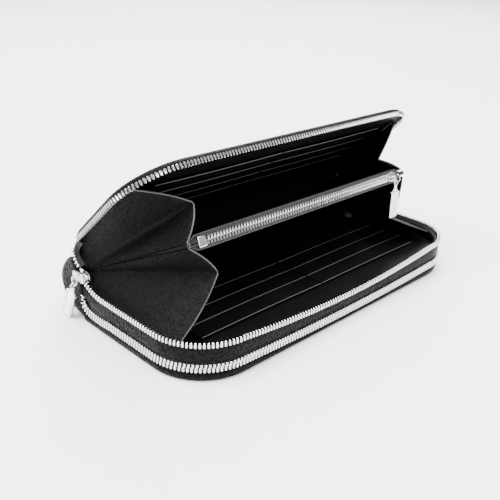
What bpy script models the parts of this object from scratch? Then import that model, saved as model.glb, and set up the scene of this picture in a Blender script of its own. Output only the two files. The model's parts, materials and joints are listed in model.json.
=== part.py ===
"""Double zip-around long wallet, standing open on its bottom cover.

Metres, +Z up. The origin is the centre of the underside of the bottom cover, +X runs along the
wallet to its right-hand end and +Y towards the spine. Every part of the lid and of the coin pocket
is drawn in the closed wallet and then swung open about the spine hinge, so the closed wallet is a
joint position and not a guess.
"""
import math

import bmesh
import bpy
from mathutils import Matrix, Vector

MM = 0.001

# driving dimensions, in millimetres
LENGTH = 200.0  # along X
DEPTH = 105.0  # along Y, spine included
CORNER = 28.0  # radius of the two front corners
CLOSED_HEIGHT = 26.0
COVER = 2.0  # thickness of a padded leather cover
GAP = 0.3  # between pieces that touch

FRONT = -DEPTH / 2
SPINE_START = 30.0  # the zips and the flat covers end here, the spine leather begins
SPINE_BACK = 51.2  # furthest back point of the spine leather
SPINE_LEATHER = 1.6
SPINE_HALF = 96.0  # half the spine's length

# the opened pose
HINGE_Y = 49.9
HINGE_Z = 6.9
LID_OPEN = 41.7  # degrees from closed
POCKET_SHARE = 0.6  # the coin pocket turns this much of the lid's angle
POCKET_OPEN = POCKET_SHARE * LID_OPEN

# tooth rows and tapes: heights in the closed wallet, insets from the covers' outline
ZIP2_Z = 7.0  # where the lower compartment's rows meet
ZIP1_Z = 19.7  # where the upper compartment's rows meet
ZIP2_SAG = 1.7  # droop in the middle of the front edge
ZIP1_SAG = 4.2
ROW_GAP = 0.6  # from the meeting line to a row
ROW_HEIGHT = 2.0
ROW_OUT = -0.6
ROW_IN = 1.6
TAPE_OUT = 1.9
TAPE_IN = 2.4
TAPE_CLEAR = 3.0  # the tapes stop this far from the meeting line, clear of a slider's inner plate
SKIN_OUT = 0.2
SKIN_IN = 1.5
ROW_END = 25.0  # the rows' back ends, in front of the parked sliders
TAPE_END = 28.0
LID_ROW_END = 12.0  # behind this the lid's row turns down to the slider

# middle of the wallet
DIVIDER_Z = 8.6
DIVIDER = 1.4
LINING = 0.5
INNER_INSET = 3.4  # linings and divider stay inside the tapes

# card pockets: four sheets in each of two columns, lapped like shingles
TIERS = 4
TIER_STEP = 10.5
SHEET = 0.4
SHEET_RISE = 1.1
SHEET_LAP = 4.0
COLUMN = 84.0
COLUMN_GAP = 1.0
FIRST_SLOT_Y = -34.0  # opening of the front pocket
SHEETS_END = 20.0  # where the back pockets end

# coin pocket, drawn closed
POCKET_HALF = 79.0
POCKET_MOUTH_Y = -33.0
POCKET_ROOT_Y = 24.0
POCKET_LOW = (15.4, 13.2)  # underside of the lower wall at the root and at the mouth
POCKET_HIGH = (18.4, 20.9)  # top of the upper wall at the root and at the mouth
POCKET_WALL = 0.8
COIN_ROW_HALF = 70.0
COIN_TAPE = 0.4
COIN_ROW_Y = POCKET_MOUTH_Y - GAP - 3.4  # reference line of its rows, like the covers' outline

GUSSET = 0.8
GUSSET_ROOT = 24.0  # distance of the gussets' inner ends from the hinge

# sliders and pulls
SLIDER_LENGTH = 9.0
PLATE = 0.9
PLATE_HALF = 2.6
WEB = 0.5
BAIL = 0.6
BAIL_HEIGHT = 2.6
BAIL_HALF = 1.6
RING_RADIUS = 2.2
RING_WIRE = 0.5
TAB_WIDTH, TAB_LENGTH, TAB_THICK = 7.0, 15.3, 1.6
NECK_WIDTH, NECK_LENGTH = 2.6, 3.4
EYE_RADIUS = 1.4
EYE_WIRE = 0.4
EYE_DROP = 0.65
PULL_LEAN = 24.0  # degrees that the upper zip's pull hangs back from the vertical
SLIDER_1 = (-100.0, 30.5, 24.5)  # parked where the opened rows come together
SLIDER_1_CLOSED = (-100.0, -19.5, 19.7)  # at the end of its straight run, lid closed
SLIDER_2_Y = 30.5
COIN_SLIDER_X = 64.0


def rounded_path(inset, back_y, steps=8, front_steps=8):
    """Points of the wallet's outline from the back left end round the front to the back right end."""
    radius = CORNER - inset
    left, right, front = -LENGTH / 2 + inset, LENGTH / 2 - inset, FRONT + inset
    points = [(left, back_y)]
    for i in range(steps + 1):
        a = math.pi + i * math.pi / 2 / steps
        points.append((left + radius + radius * math.cos(a), front + radius + radius * math.sin(a)))
    for i in range(1, front_steps):
        points.append((left + radius + (right - left - 2 * radius) * i / front_steps, front))
    for i in range(steps + 1):
        a = -math.pi / 2 + i * math.pi / 2 / steps
        points.append((right - radius + radius * math.cos(a), front + radius + radius * math.sin(a)))
    points.append((right, back_y))
    return points


def sag(x, y, depth):
    """How far an edge hangs below its two ends, greatest in the middle of the front."""
    half = LENGTH / 2 - CORNER
    along = max(0.0, 1.0 - (x / half) ** 2)
    forward = max(0.0, min(1.0, (FRONT + CORNER - y) / CORNER))
    return -depth * along * forward


def make_object(name, bm, material, smooth=True):
    """Turns a bmesh in millimetres into an object in metres."""
    bmesh.ops.scale(bm, vec=(MM, MM, MM), verts=bm.verts)
    bmesh.ops.recalc_face_normals(bm, faces=bm.faces)
    mesh = bpy.data.meshes.new(name)
    bm.to_mesh(mesh)
    bm.free()
    obj = bpy.data.objects.new(name, mesh)
    bpy.context.scene.collection.objects.link(obj)
    mesh.materials.append(material)
    if smooth:
        mesh.shade_smooth()
        mesh.set_sharp_from_angle(angle=math.radians(40))
    return obj


def loft(name, rings, material):
    """Closed solid through a list of rings of 3-D points, with a cap on the first and on the last."""
    bm = bmesh.new()
    loops = [[bm.verts.new(p) for p in ring] for ring in rings]
    count = len(rings[0])
    for a, b in zip(loops, loops[1:]):
        for i in range(count):
            j = (i + 1) % count
            bm.faces.new((a[i], a[j], b[j], b[i]))
    bm.faces.new(list(reversed(loops[0])))
    bm.faces.new(loops[-1])
    return make_object(name, bm, material)


def edge_band(name, profile, back_y, material, sags=None):
    """Sweeps a profile of (inset, height) points round the wallet's left, front and right edges."""
    sags = sags or [0.0] * len(profile)
    columns = [rounded_path(inset, back_y) for inset, _ in profile]
    rings = []
    for station in range(len(columns[0])):
        ring = []
        for (inset, z), column, depth in zip(profile, columns, sags):
            x, y = column[station]
            ring.append((x, y, z + sag(x, y, depth)))
        rings.append(ring)
    return loft(name, rings, material)


def slab(name, outline, z_low, z_high, material):
    """Flat solid over a closed outline of (x, y) points."""
    low = [(x, y, z_low) for x, y in outline]
    high = [(x, y, z_high) for x, y in outline]
    return loft(name, [low, high], material)


def box_outline(x0, y0, x1, y1):
    return [(x0, y0), (x1, y0), (x1, y1), (x0, y1)]


def swing(obj, degrees):
    """Turns a piece drawn in the closed wallet about the spine hinge, lid side up."""
    hinge = Vector((0.0, HINGE_Y, HINGE_Z)) * MM
    turn = Matrix.Rotation(math.radians(-degrees), 4, "X")
    obj.data.transform(Matrix.Translation(hinge) @ turn @ Matrix.Translation(-hinge))
    return obj


def finish(name, colour, roughness, metallic):
    material = bpy.data.materials.new(name)
    material.use_nodes = True
    shader = material.node_tree.nodes["Principled BSDF"]
    shader.inputs["Base Color"].default_value = colour
    shader.inputs["Roughness"].default_value = roughness
    shader.inputs["Metallic"].default_value = metallic
    return material


def cover(name, levels, sags, material):
    """A shallow leather tray: outlines of (inset, height) stacked from the outside to the inner floor."""
    rings = []
    for (inset, z), depth in zip(levels, sags):
        outline = rounded_path(inset, SPINE_START - (inset if inset == SKIN_IN else 0.0))
        rings.append([(x, y, z + sag(x, y, depth)) for x, y in outline])
    return loft(name, rings, material)


def row_profile(z_low):
    """Cross-section of a tooth row that stands on z_low."""
    z_high = z_low + ROW_HEIGHT
    return [(ROW_OUT, z_low), (ROW_IN, z_low), (ROW_IN, z_high), (ROW_OUT, z_high)]


def strip_profile(out, inside, z_low, z_high):
    return [(out, z_low), (inside, z_low), (inside, z_high), (out, z_high)]


def make_covers(skin):
    lower = [(4.0, 0.0), (1.2, 0.5), (SKIN_OUT, 2.0), (SKIN_OUT, 4.0), (SKIN_IN, 4.0), (SKIN_IN, COVER)]
    cover("bottom_cover", lower, [0, 0, 0.6, ZIP2_SAG, ZIP2_SAG, 0], skin)
    top = CLOSED_HEIGHT
    upper = [(5.0, top), (2.0, top - 0.7), (SKIN_OUT, top - 2.4), (SKIN_OUT, top - 3.2)]
    upper += [(SKIN_IN, top - 3.2), (SKIN_IN, top - COVER)]
    swing(cover("lid_cover", upper, [0] * 6, skin), LID_OPEN)


def make_edge_strips(skin, tape, metal):
    """The tapes, the tooth rows and the leather band between the two zips."""
    row2_low = ZIP2_Z - ROW_GAP - ROW_HEIGHT
    row2_high = ZIP2_Z + ROW_GAP
    row1_low = ZIP1_Z - ROW_GAP - ROW_HEIGHT
    row1_high = ZIP1_Z + ROW_GAP
    band_low, band_high = row2_high + ROW_HEIGHT + GAP, row1_low - GAP
    low, high = [ZIP2_SAG] * 4, [ZIP1_SAG] * 4
    mixed = [ZIP2_SAG, ZIP2_SAG, ZIP1_SAG, ZIP1_SAG]

    edge_band("lower_zip_bottom_teeth", row_profile(row2_low), ROW_END, metal, low)
    edge_band("lower_zip_top_teeth", row_profile(row2_high), ROW_END, metal, low)
    edge_band("upper_zip_bottom_teeth", row_profile(row1_low), ROW_END, metal, high)
    tape_low = strip_profile(TAPE_OUT, TAPE_IN, COVER + GAP, ZIP2_Z - TAPE_CLEAR)
    edge_band("lower_zip_bottom_tape", tape_low, TAPE_END, tape, [0, 0, 1.0, 1.0])
    middle = (band_low + band_high) / 2
    tape_mid = strip_profile(TAPE_OUT, TAPE_IN, ZIP2_Z + TAPE_CLEAR, middle - GAP / 2)
    half_way = (ZIP1_SAG + ZIP2_SAG) / 2
    edge_band("lower_zip_top_tape", tape_mid, TAPE_END, tape, [ZIP2_SAG, ZIP2_SAG, half_way, half_way])
    tape_up = strip_profile(TAPE_OUT, TAPE_IN, middle + GAP / 2, ZIP1_Z - TAPE_CLEAR)
    edge_band("upper_zip_bottom_tape", tape_up, TAPE_END, tape, [half_way, half_way, ZIP1_SAG, ZIP1_SAG])
    edge_band("middle_band", strip_profile(SKIN_OUT, SKIN_IN, band_low, band_high), SPINE_START, skin, mixed)

    lid_teeth = edge_band("upper_zip_lid_teeth", row_profile(row1_high), LID_ROW_END, metal)
    lid_tape_profile = strip_profile(TAPE_OUT, TAPE_IN, ZIP1_Z + TAPE_CLEAR, CLOSED_HEIGHT - COVER - GAP)
    lid_tape = edge_band("upper_zip_lid_tape", lid_tape_profile, LID_ROW_END, tape)
    for strip in (lid_teeth, lid_tape):
        swing(strip, LID_OPEN)


def card_sheets(prefix, base_z, up, material, swing_by=0.0):
    """Lapped card pockets that open towards the front; up is 1 on the floor and -1 under the lid."""
    for column, side in (("left", -1), ("right", 1)):
        x0, x1 = sorted((side * COLUMN_GAP / 2, side * (COLUMN_GAP / 2 + COLUMN)))
        for tier in range(TIERS):
            slot_y = FIRST_SLOT_Y + tier * TIER_STEP
            tuck_y = slot_y + TIER_STEP + SHEET_LAP if tier < TIERS - 1 else SHEETS_END
            rings = []
            for y, z in ((slot_y, base_z + up * SHEET_RISE), (tuck_y, base_z)):
                inset = max(0.0, FRONT + CORNER - y) * 0.45
                a, b = (x0 + inset, x1) if side < 0 else (x0, x1 - inset)
                rings.append([(a, y, z), (b, y, z), (b, y, z + up * SHEET), (a, y, z + up * SHEET)])
            sheet = loft(f"{prefix}_card_pocket_{column}_{tier + 1}", rings, material)
            swing(sheet, swing_by)


def make_panels(lining):
    """Divider and linings: flat boards over the rounded outline."""
    outline = rounded_path(INNER_INSET, TAPE_END)
    slab("lower_floor_lining", outline, COVER + GAP, COVER + GAP + LINING, lining)
    slab("divider_panel", outline, DIVIDER_Z, DIVIDER_Z + DIVIDER, lining)
    floor = DIVIDER_Z + DIVIDER + GAP
    slab("floor_lining", outline, floor, floor + LINING, lining)
    card_sheets("floor", floor + LINING + GAP, 1, lining)
    ceiling = CLOSED_HEIGHT - COVER - GAP
    swing(slab("lid_lining", outline, ceiling - LINING, ceiling, lining), LID_OPEN)
    card_sheets("lid", ceiling - LINING - GAP, -1, lining, LID_OPEN)
    for side, name in ((-1, "left"), (1, "right")):
        x = side * 88.0
        fold = [(x, FRONT + 32.0), (x + side * 6.0, FRONT + 32.0), (x + side * 6.0, 26.0), (x, 26.0)]
        slab(f"lower_gusset_{name}", fold, COVER + 2 * GAP + LINING, DIVIDER_Z - GAP, lining)


def closed_point(radius, degrees):
    """A point (y, z) of the closed wallet, by distance and angle from the spine hinge."""
    a = math.radians(degrees)
    return HINGE_Y - radius * math.cos(a), HINGE_Z + radius * math.sin(a)


def make_coin_pocket(lining, tape, metal):
    """Two walls, a bottom fold, two side folds and a zip across the mouth, drawn closed."""
    root_y, mouth_y = POCKET_ROOT_Y, POCKET_MOUTH_Y
    low_root, low_mouth = POCKET_LOW
    high_root, high_mouth = POCKET_HIGH
    half = POCKET_HALF

    def wall(name, z_root, z_mouth, material):
        rings = []
        for x in (-half, half):
            rings.append([(x, root_y, z_root), (x, mouth_y, z_mouth),
                          (x, mouth_y, z_mouth + POCKET_WALL), (x, root_y, z_root + POCKET_WALL)])
        return loft(name, rings, material)

    pieces = [wall("coin_pocket_lower_wall", low_root, low_mouth, lining)]
    pieces.append(wall("coin_pocket_upper_wall", high_root - POCKET_WALL, high_mouth - POCKET_WALL, lining))
    fold = box_outline(-half, root_y + GAP, half, root_y + GAP + 1.2)
    pieces.append(slab("coin_pocket_bottom_fold", fold, low_root, high_root, lining))
    for side, name in ((-1, "left"), (1, "right")):
        rings = []
        for x in (side * (half - 1.5), side * (half - 0.5)):
            rings.append([(x, root_y - 1, low_root + POCKET_WALL + GAP),
                          (x, mouth_y + 1, low_mouth + POCKET_WALL + GAP),
                          (x, mouth_y + 1, high_mouth - POCKET_WALL - GAP),
                          (x, root_y - 1, high_root - POCKET_WALL - GAP)])
        pieces.append(loft(f"coin_pocket_side_{name}", rings, lining))

    middle = (low_mouth + high_mouth) / 2
    face = mouth_y - GAP
    for part, z0, z1 in (("lower", low_mouth, middle - ROW_GAP), ("upper", middle + ROW_GAP, high_mouth)):
        strip = box_outline(-half, face - COIN_TAPE, half, face)
        pieces.append(slab(f"coin_zip_{part}_tape", strip, z0, z1, tape))
        edge = z1 if part == "lower" else z0
        row_z = (edge - ROW_HEIGHT, edge) if part == "lower" else (edge, edge + ROW_HEIGHT)
        row = box_outline(-COIN_ROW_HALF, COIN_ROW_Y + ROW_OUT, COIN_ROW_HALF, COIN_ROW_Y + ROW_IN)
        pieces.append(slab(f"coin_zip_{part}_teeth", row, *row_z, metal))
    stop = box_outline(-COIN_ROW_HALF - 5.0, COIN_ROW_Y + ROW_OUT, -COIN_ROW_HALF - GAP, COIN_ROW_Y + ROW_IN)
    pieces.append(slab("coin_zip_bottom_stop", stop, middle - 2.6, middle + 2.6, metal))
    for piece in pieces:
        swing(piece, POCKET_OPEN)


def folded_leather(name, creases, material):
    """One folded piece of leather through its creases, each a root and a free end."""
    lines = [(Vector(root), Vector(end)) for root, end in creases]
    rings = []
    for i, (root, end) in enumerate(lines):
        before, after = lines[max(i - 1, 0)], lines[min(i + 1, len(lines) - 1)]
        across = after[1] - before[1]
        normal = (end - root).cross(across).normalized() * GUSSET
        rings.append([root, end, end + normal, root + normal])
    return loft(name, rings, material)


def make_gussets(skin):
    """Accordion ends: a lower gusset from the floor to the coin pocket and an upper one on to the lid."""
    for side, name in ((-1, "left"), (1, "right")):
        def crease(x_root, x_end, radius, degrees, root_degrees):
            root_y, root_z = closed_point(GUSSET_ROOT, root_degrees)
            end_y, end_z = closed_point(radius, degrees)
            return (side * x_root, root_y, root_z), (side * x_end, end_y, end_z)

        peak = crease(90.0, 69.0, 86.3, 21.9, 24.0) if side < 0 else crease(90.0, 66.0, 80.5, 16.0, 21.0)
        reach = 87.0 if side < 0 else 83.0
        lower = [crease(93.0, 93.0, 86.0, 9.0, 17.0), peak, crease(92.0, 82.0, reach, 29.0, 32.0)]
        upper = [crease(92.0, 82.0, 87.0, 35.5, 40.0), crease(90.0, 70.0, 88.4, 42.7, 46.0),
                 crease(92.0, 88.0, 88.0, 50.2, 52.0)]
        folded_leather(f"{name}_lower_gusset", lower, skin)
        folded_leather(f"{name}_upper_gusset", upper, skin)


def spine_curve(steps=12):
    """Outer line (y, z) of the spine leather, from the bottom cover's back edge to the lid's."""
    angle = math.radians(LID_OPEN)
    dy, dz = SPINE_START - HINGE_Y, CLOSED_HEIGHT - HINGE_Z
    lid_y = HINGE_Y + dy * math.cos(angle) + dz * math.sin(angle)
    lid_z = HINGE_Z - dy * math.sin(angle) + dz * math.cos(angle)
    start = Vector((SPINE_START + GAP, 0.0))
    end = Vector((lid_y, lid_z)) + Vector((math.cos(angle), -math.sin(angle))) * GAP
    reach = SPINE_BACK - SPINE_START
    c1 = start + Vector((reach * 1.05, 0.0))
    c2 = end + Vector((math.cos(angle), -math.sin(angle))) * reach * 0.55
    points = []
    for i in range(steps + 1):
        t = i / steps
        points.append(start * (1 - t) ** 3 + c1 * 3 * t * (1 - t) ** 2 + c2 * 3 * t * t * (1 - t) + end * t ** 3)
    return points


def make_spine(skin):
    outer = spine_curve()
    rings = []
    for x in (-SPINE_HALF, SPINE_HALF):
        ring_out, ring_in = [], []
        for i, p in enumerate(outer):
            tangent = (outer[min(i + 1, len(outer) - 1)] - outer[max(i - 1, 0)]).normalized()
            inward = Vector((-tangent.y, tangent.x)) * SPINE_LEATHER
            ring_out.append((x, p.x, p.y))
            ring_in.append((x, p.x + inward.x, p.y + inward.y))
        rings.append(ring_out + list(reversed(ring_in)))
    loft("spine_cover", rings, skin)


def tube(name, points, wire, material, cyclic=True, sides=8):
    """Round wire through a list of points, either closed into a loop or with flat ends."""
    count = len(points)
    rings = []
    for i, p in enumerate(points):
        before = points[(i - 1) % count] if cyclic or i > 0 else p
        after = points[(i + 1) % count] if cyclic or i < count - 1 else p
        tangent = (after - before).normalized()
        centre = sum(points, Vector()) / count
        across = (p - centre)
        across = (across - tangent * across.dot(tangent)).normalized()
        up = tangent.cross(across)
        rings.append([p + (across * math.cos(2 * math.pi * k / sides) + up * math.sin(2 * math.pi * k / sides))
                      * wire for k in range(sides)])
    bm = bmesh.new()
    loops = [[bm.verts.new(v) for v in ring] for ring in rings]
    last = count if cyclic else count - 1
    for i in range(last):
        a, b = loops[i], loops[(i + 1) % count]
        for k in range(sides):
            bm.faces.new((a[k], a[(k + 1) % sides], b[(k + 1) % sides], b[k]))
    if not cyclic:
        bm.faces.new(list(reversed(loops[0])))
        bm.faces.new(loops[-1])
    return make_object(name, bm, material)


def block(centre, axes, half):
    """The eight corners of a box as two rings; axes are its unit directions and half its half sizes."""
    u, v, w = axes
    rings = []
    for s in (-1, 1):
        c = centre + u * (s * half[0])
        rings.append([c - v * half[1] - w * half[2], c + v * half[1] - w * half[2],
                      c + v * half[1] + w * half[2], c - v * half[1] + w * half[2]])
    return rings


def union(target, parts):
    """Joins extra solids into the target with exact Boolean unions and removes them."""
    for part in parts:
        modifier = target.modifiers.new("join", "BOOLEAN")
        modifier.operation = "UNION"
        modifier.solver = "EXACT"
        modifier.object = part
        bpy.context.view_layer.update()
        graph = bpy.context.evaluated_depsgraph_get()
        mesh = bpy.data.meshes.new_from_object(target.evaluated_get(graph))
        target.modifiers.clear()
        old = target.data
        target.data = mesh
        bpy.data.meshes.remove(old)
        bpy.data.objects.remove(part)
    return target


def slider_body(prefix, centre, out, along, bar, shift, metal):
    """Two plates joined by a web between the rows, with a wire arch to hold the ring.
    centre is where the rows meet, out points away from the wallet, along runs with the teeth and
    bar is the way the arch spans. Returns the point that the ring hangs from."""
    across = out.cross(along).normalized()
    outer = centre + out * (-ROW_OUT + GAP + PLATE / 2)
    inner = centre - out * (ROW_IN + GAP + PLATE / 2)
    plate_half = (SLIDER_LENGTH / 2, PLATE_HALF, PLATE / 2)
    body = loft(f"{prefix}_slider", block(outer, (along, across, out), plate_half), metal)
    back = loft("back_plate", block(inner, (along, across, out), plate_half), metal)
    web_half = (SLIDER_LENGTH / 4, WEB / 2, (outer - inner).length / 2)
    web = loft("web", block((outer + inner) / 2, (along, across, out), web_half), metal)
    top = outer + out * (PLATE / 2) + shift
    arch = []
    for i in range(9):
        a = math.pi * i / 8
        arch.append(top + out * (math.sin(a) * BAIL_HEIGHT - 0.3) + bar * (math.cos(a) * BAIL_HALF))
    union(body, [back, web, tube("bail", arch, BAIL / 2, metal, cyclic=False)])
    return top + out * (BAIL_HEIGHT / 2 - 0.1)


def pull(prefix, bail_axis, ring_way, ring_side, tab_way, wide, metal):
    """Ring and tab. The ring's circle lies along ring_way and ring_side, and the tab hangs from it
    along tab_way with its width along wide."""
    ring_centre = bail_axis + ring_way * RING_RADIUS
    tube(f"{prefix}_ring", circle(ring_centre, ring_way, ring_side, RING_RADIUS, 20), RING_WIRE / 2, metal)

    tab_axis = ring_centre + tab_way * RING_RADIUS
    wire_way = ring_way.cross(ring_side).cross(tab_way)  # the ring's own direction where the tab hangs
    eye_centre = tab_axis + tab_way * EYE_DROP
    eye_side = wire_way.cross(tab_way).normalized()
    eye = tube("eye", circle(eye_centre, tab_way, eye_side, EYE_RADIUS, 12), EYE_WIRE, metal)
    thin = tab_way.cross(wide)
    neck_middle = eye_centre + tab_way * (EYE_RADIUS + NECK_LENGTH / 2)
    neck_half = (NECK_LENGTH / 2 + 0.2, NECK_WIDTH / 2, TAB_THICK * 0.3)
    neck = loft("neck", block(neck_middle, (tab_way, wide, thin), neck_half), metal)
    tab_middle = neck_middle + tab_way * (NECK_LENGTH + TAB_LENGTH) / 2
    tab_half = (TAB_LENGTH / 2, TAB_WIDTH / 2, TAB_THICK / 2)
    tab = loft(f"{prefix}_tab", block(tab_middle, (tab_way, wide, thin), tab_half), metal)
    union(tab, [neck, eye])


def circle(centre, u, v, radius, count):
    turn = 2 * math.pi / count
    return [centre + u * (math.cos(i * turn) * radius) + v * (math.sin(i * turn) * radius) for i in range(count)]


def turned(point, degrees):
    """A point or direction (relative to the hinge line) after the lid side has opened by degrees."""
    a = math.radians(degrees)
    return Vector((point.x, point.y * math.cos(a) + point.z * math.sin(a),
                   -point.y * math.sin(a) + point.z * math.cos(a)))


def make_sliders(metal):
    edge = LENGTH / 2
    up, right = Vector((0.0, 0.0, 1.0)), Vector((1.0, 0.0, 0.0))
    still = Vector()

    lean = math.radians(PULL_LEAN)
    hang = Vector((0.0, math.sin(lean), -math.cos(lean)))
    side = right.cross(hang)
    along = (Vector(SLIDER_1_CLOSED) - Vector(SLIDER_1)).normalized()
    bail = slider_body("upper_zip", Vector(SLIDER_1), -right, along, hang, still, metal)
    pull("upper_zip", bail, hang, side, hang, side, metal)

    forward = Vector((0.0, -1.0, 0.0))
    parked = Vector((edge, SLIDER_2_Y, ZIP2_Z))
    bail = slider_body("lower_zip", parked, right, forward, forward, forward * 2.6, metal)
    pull("lower_zip", bail, forward, up, forward, up, metal)

    hinge = Vector((0.0, HINGE_Y, HINGE_Z))
    mouth_z = (POCKET_LOW[1] + POCKET_HIGH[1]) / 2
    centre = turned(Vector((COIN_SLIDER_X, COIN_ROW_Y, mouth_z)) - hinge, POCKET_OPEN) + hinge
    out = turned(forward, POCKET_OPEN)
    bail = slider_body("coin_zip", centre, out, right, right, still, metal)
    ring_way = (out * 0.9 - up * 0.5).normalized()
    pull("coin_zip", bail, ring_way, right.cross(ring_way), -up, right, metal)


def make_turns(metal):
    """Where the lid's row runs down behind the opened mouth to the slider, at both ends."""
    lid_start = turned(Vector((0.0, LID_ROW_END - HINGE_Y, ZIP1_Z + ROW_GAP + ROW_HEIGHT / 2 - HINGE_Z)), LID_OPEN)
    lid_start += Vector((0.0, HINGE_Y, HINGE_Z))
    slider_top = Vector((0.0, SLIDER_1[1] + 1.0, SLIDER_1[2] + SLIDER_LENGTH / 2 + 0.6))
    lean = math.radians(LID_OPEN)
    end = lid_start + Vector((0.0, math.cos(lean), -math.sin(lean))) * 0.6
    c1 = slider_top + Vector((0.0, 4.5, 3.0))
    c2 = end + Vector((0.0, math.cos(lean), -math.sin(lean))) * 9.0
    steps = 10
    for side, name in ((-1, "left"), (1, "right")):
        rings = []
        for i in range(steps + 1):
            t = i / steps
            p = slider_top * (1 - t) ** 3 + c1 * 3 * t * (1 - t) ** 2 + c2 * 3 * t * t * (1 - t) + end * t ** 3
            d = (c1 - slider_top) * (1 - t) ** 2 + (c2 - c1) * 2 * t * (1 - t) + (end - c2) * t * t
            d.normalize()
            width = Vector((0.0, -d.z, d.y)) * (ROW_HEIGHT / 2)
            x_out, x_in = side * (LENGTH / 2 - ROW_OUT), side * (LENGTH / 2 - ROW_IN)
            rings.append([(x_out, p.y - width.y, p.z - width.z), (x_in, p.y - width.y, p.z - width.z),
                          (x_in, p.y + width.y, p.z + width.z), (x_out, p.y + width.y, p.z + width.z)])
        loft(f"upper_zip_turn_{name}", rings, metal)


def main():
    for obj in list(bpy.data.objects):
        bpy.data.objects.remove(obj, do_unlink=True)
    skin = finish("pebbled_leather", (0.012, 0.012, 0.013, 1.0), 0.5, 0.0)
    folds = finish("gusset_leather", (0.014, 0.014, 0.015, 1.0), 0.55, 0.0)
    lining = finish("smooth_lining", (0.006, 0.006, 0.007, 1.0), 0.45, 0.0)
    tape = finish("zip_tape", (0.008, 0.008, 0.009, 1.0), 0.8, 0.0)
    metal = finish("polished_metal", (0.8, 0.8, 0.8, 1.0), 0.15, 1.0)
    make_covers(skin)
    make_edge_strips(skin, tape, metal)
    make_panels(lining)
    make_coin_pocket(lining, tape, metal)
    make_gussets(folds)
    make_spine(skin)
    make_turns(metal)
    make_sliders(metal)


main()
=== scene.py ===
"""The looks of the double zip-around long wallet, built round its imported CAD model.

Everything is drawn in millimetres in the CAD's own frame. Pieces of the lid and of the coin pocket
are drawn in the closed wallet and swung open about the spine hinge, as in the CAD.
"""

import json
import math
import random

import bmesh
import bpy
from mathutils import Matrix, Vector


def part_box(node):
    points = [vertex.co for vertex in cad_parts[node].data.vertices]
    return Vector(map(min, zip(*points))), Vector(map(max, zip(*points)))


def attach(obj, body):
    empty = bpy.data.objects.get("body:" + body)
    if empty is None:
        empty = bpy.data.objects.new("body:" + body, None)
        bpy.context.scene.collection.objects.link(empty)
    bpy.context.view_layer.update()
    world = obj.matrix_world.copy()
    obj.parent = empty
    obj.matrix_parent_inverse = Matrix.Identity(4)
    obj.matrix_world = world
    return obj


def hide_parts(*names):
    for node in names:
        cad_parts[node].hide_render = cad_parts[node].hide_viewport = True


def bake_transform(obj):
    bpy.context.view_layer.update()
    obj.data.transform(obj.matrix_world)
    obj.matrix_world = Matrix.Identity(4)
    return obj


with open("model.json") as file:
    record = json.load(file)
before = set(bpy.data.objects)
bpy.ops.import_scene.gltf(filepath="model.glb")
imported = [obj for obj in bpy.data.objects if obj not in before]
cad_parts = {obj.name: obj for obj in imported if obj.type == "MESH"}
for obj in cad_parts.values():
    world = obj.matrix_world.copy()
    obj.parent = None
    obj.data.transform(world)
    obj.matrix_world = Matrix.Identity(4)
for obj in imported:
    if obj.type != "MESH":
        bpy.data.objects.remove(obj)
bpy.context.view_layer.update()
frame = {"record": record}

MM = 0.001
UP = Vector((0.0, 0.0, 1.0))
RIGHT = Vector((1.0, 0.0, 0.0))
FORWARD = Vector((0.0, -1.0, 0.0))
ENDS = ((-1, "left"), (1, "right"))


def box_mm(node):
    low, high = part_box(node)
    return Vector(low) / MM, Vector(high) / MM


# what the frame says
JOINTS = {joint["name"]: joint for joint in frame["record"]["behaviour"]["joints"]}
HINGE = Vector(JOINTS["lid_hinge"]["pos_m"]) / MM
HINGE.x = 0.0
LID_OPEN = -JOINTS["lid_hinge"]["range_deg"][0]  # degrees from closed
POCKET_SHARE = 0.6  # the coin pocket turns this much of the lid's angle
POCKET_OPEN = POCKET_SHARE * LID_OPEN
SKIN_OUT = 0.2  # inset of the covers' outer faces from the wallet's outline
HALF = box_mm("bottom_cover")[1].x + SKIN_OUT
FRONT = box_mm("bottom_cover")[0].y - SKIN_OUT

# the closed wallet
CORNER = 28.0  # radius of the front corners
CLOSED_HEIGHT = 26.0
COVER = 2.0  # thickness of a cover
GAP = 0.3  # between pieces that touch
SPINE_START = 30.0  # the flat covers end here
SPINE_BACK = 51.2  # furthest back point of the spine
TAPE_END = 28.0  # back end of the linings and the divider
INNER_INSET = 3.4  # of the linings
ZIP2_Z, ZIP2_SAG = 7.0, 1.7  # height of a zip's meeting line, and how far it hangs in front
ZIP1_Z, ZIP1_SAG = 19.7, 4.2
ROW_GAP, ROW_HEIGHT = 0.6, 2.0
ROW_MIDDLE = 0.5  # inset of the teeth's middle
ROW_BACK = 28.4  # back end of the upper zip's lower row
LID_ROW_END = 12.0  # behind this the lid's row turns down to the slider
SLIDERS_Y = 30.5
LEFT_SLIDER = Vector((-HALF, SLIDERS_Y, 24.5))

# tooth shape: across the row, along it, and out of the wallet
PITCH = 1.8
TOOTH_LONG = 2.5
TOOTH_WIDE = 1.12
TOOTH_DEEP = 2.1
MESHED = 0.45  # closed rows reach this far over their meeting line


# ---------------------------------------------------------------- materials

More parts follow.
